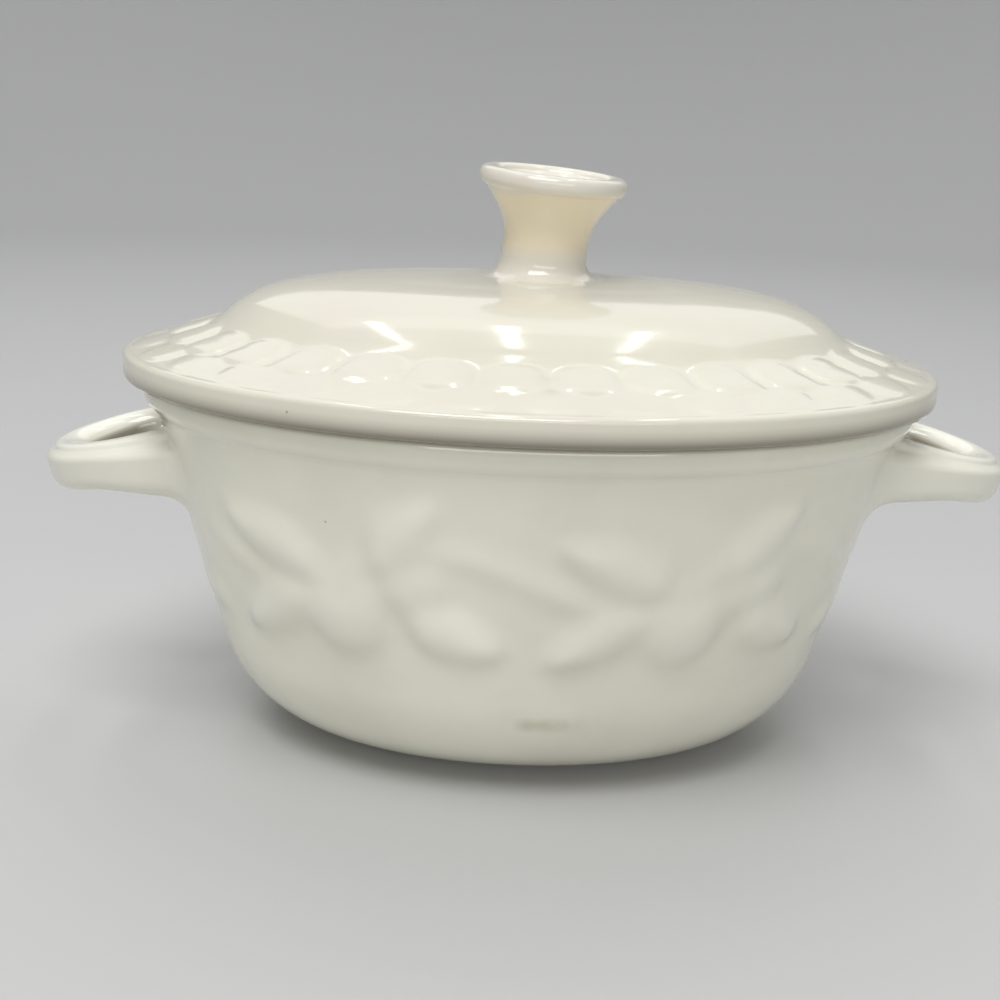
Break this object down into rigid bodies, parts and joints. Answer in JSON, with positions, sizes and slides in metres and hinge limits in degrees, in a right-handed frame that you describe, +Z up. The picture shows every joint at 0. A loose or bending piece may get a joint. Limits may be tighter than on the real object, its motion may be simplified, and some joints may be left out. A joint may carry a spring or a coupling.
{
  "type": "covered baking crock",
  "caption": "Oval glazed stoneware baking crock with a sloping wall, two loop ears and a lift-off domed lid that has a gadroon border and a flared knob.",
  "frame": {"origin": "centre of the bounding box in plan, on the plane that the foot ring stands on", "axes": "+X along the long axis from ear to ear, +Z up, -Y towards the pictured front"},
  "size_m": [0.2246, 0.146, 0.1343],
  "materials": {
    "pot_glaze": "gloss ivory glaze over stoneware, unglazed foot ring",
    "ear_glaze": "gloss ivory glaze",
    "lid_glaze": "gloss ivory glaze",
    "knob_glaze": "gloss ivory glaze, warmer under the flare"
  },
  "bodies": {
    "pot": {"pot_body": "pot_glaze", "handle_left": "ear_glaze", "handle_right": "ear_glaze"},
    "cover": {"lid": "lid_glaze", "lid_knob": "knob_glaze"}
  },
  "joints": [
    {"name": "lid_lift", "type": "slide", "parent": "pot", "child": "cover", "axis": [0, 0, 1], "range_m": [0, 0.12]}
  ]
}
